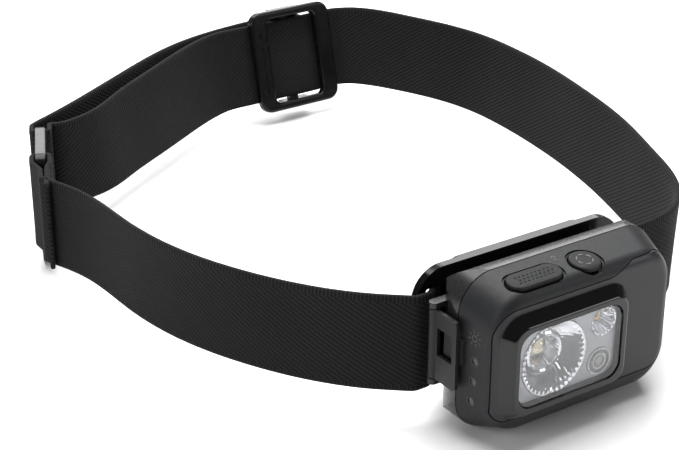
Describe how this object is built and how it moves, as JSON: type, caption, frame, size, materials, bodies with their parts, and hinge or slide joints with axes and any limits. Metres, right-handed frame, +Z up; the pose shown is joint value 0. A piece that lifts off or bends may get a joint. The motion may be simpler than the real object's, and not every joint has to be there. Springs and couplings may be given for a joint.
{
  "type": "headlamp",
  "caption": "Camping headlamp: hinged lamp head over a battery case that tilts on a bracket, with buttons, a latch and an adjustable elastic strap.",
  "frame": {"origin": "on the ground under the middle of the lamp, in the plane where the head and the battery case meet", "axes": "+X along the lamp's width, -Y the way the beam points, +Z up"},
  "size_m": [0.1636, 0.2136, 0.04],
  "materials": {
    "shell": "soft-touch, fine texture",
    "cover": "satin, fine texture",
    "window": "clear, polished",
    "carrier": "semi-gloss",
    "reflector": "vacuum-metallised",
    "emitter": "phosphor",
    "amber_emitter": "phosphor",
    "clear_dome": "clear",
    "night_lens": "clear, ringed",
    "aluminium_board": "bare",
    "board": "solder mask",
    "risers": "moulded",
    "switch": "moulded",
    "screw": "zinc plated",
    "light_pipe": "smoked, moulded",
    "meter_emitter": "moulded",
    "key": "matte, dotted",
    "case": "satin, fine texture",
    "seal": "matte",
    "dark_pin": "black oxide",
    "latch": "gloss",
    "cell": "printed sleeve",
    "contact": "nickel plated",
    "bracket": "gloss",
    "webbing": "twill weave",
    "hardware": "gloss"
  },
  "bodies": {
    "bracket": {"bracket": "bracket", "tilt_pin": "dark_pin", "strap_front": "webbing", "strap_left": "webbing", "strap_return": "webbing", "strap_inner": "webbing", "strap_rear": "webbing", "strap_right": "webbing", "strap_ring": "hardware"},
    "case": {"rear_case": "case", "case_seal": "seal", "side_hinge_pin": "dark_pin", "latch_pin": "dark_pin", "battery_top": "cell", "battery_middle": "cell", "battery_bottom": "cell", "contact_plates": "contact", "contact_springs": "contact"},
    "head": {"head_shell": "shell", "face_cover": "cover", "window_lens": "window", "carrier_plate": "carrier", "main_reflector": "reflector", "main_led": "emitter", "main_led_dome": "clear_dome", "led_star_board": "aluminium_board", "twin_reflector": "reflector", "twin_leds": "amber_emitter", "night_lens": "night_lens", "night_led": "emitter", "small_led_board": "board", "led_risers": "risers", "circuit_board": "board", "switch_board": "board", "power_switch": "switch", "mode_switch": "switch", "board_screws": "screw", "meter_light_pipes": "light_pipe", "meter_leds": "meter_emitter"},
    "latch": {"latch_arm": "latch"},
    "power_button": {"power_button": "key"},
    "mode_button": {"mode_button": "key"},
    "slider": {"strap_slider": "hardware", "strap_end_loop": "webbing"}
  },
  "joints": [
    {"name": "lamp_tilt", "type": "hinge", "parent": "bracket", "child": "case", "pos_m": [0.00125, 0.0136, 0.0023], "axis": [1, 0, 0], "range_deg": [0, 50]},
    {"name": "head_open", "type": "hinge", "parent": "case", "child": "head", "pos_m": [0.0312, 0.004, 0.02], "axis": [0, 0, 1], "range_deg": [0, 100]},
    {"name": "latch_lift", "type": "hinge", "parent": "case", "child": "latch", "pos_m": [-0.02895, 0.0069, 0.0216], "axis": [0, 0, -1], "range_deg": [0, 35], "stiffness_Nm_per_rad": 0.002, "springref_deg": -5.73},
    {"name": "power_press", "type": "slide", "parent": "head", "child": "power_button", "axis": [0, 0.1378, -0.9905], "range_m": [0, 0.0008], "stiffness_N_per_m": 1500},
    {"name": "mode_press", "type": "slide", "parent": "head", "child": "mode_button", "axis": [0, 0.1378, -0.9905], "range_m": [0, 0.0008], "stiffness_N_per_m": 1500},
    {"name": "strap_slide", "type": "slide", "parent": "bracket", "child": "slider", "axis": [1, 0, 0], "range_m": [-0.006, 0.0025]}
  ]
}
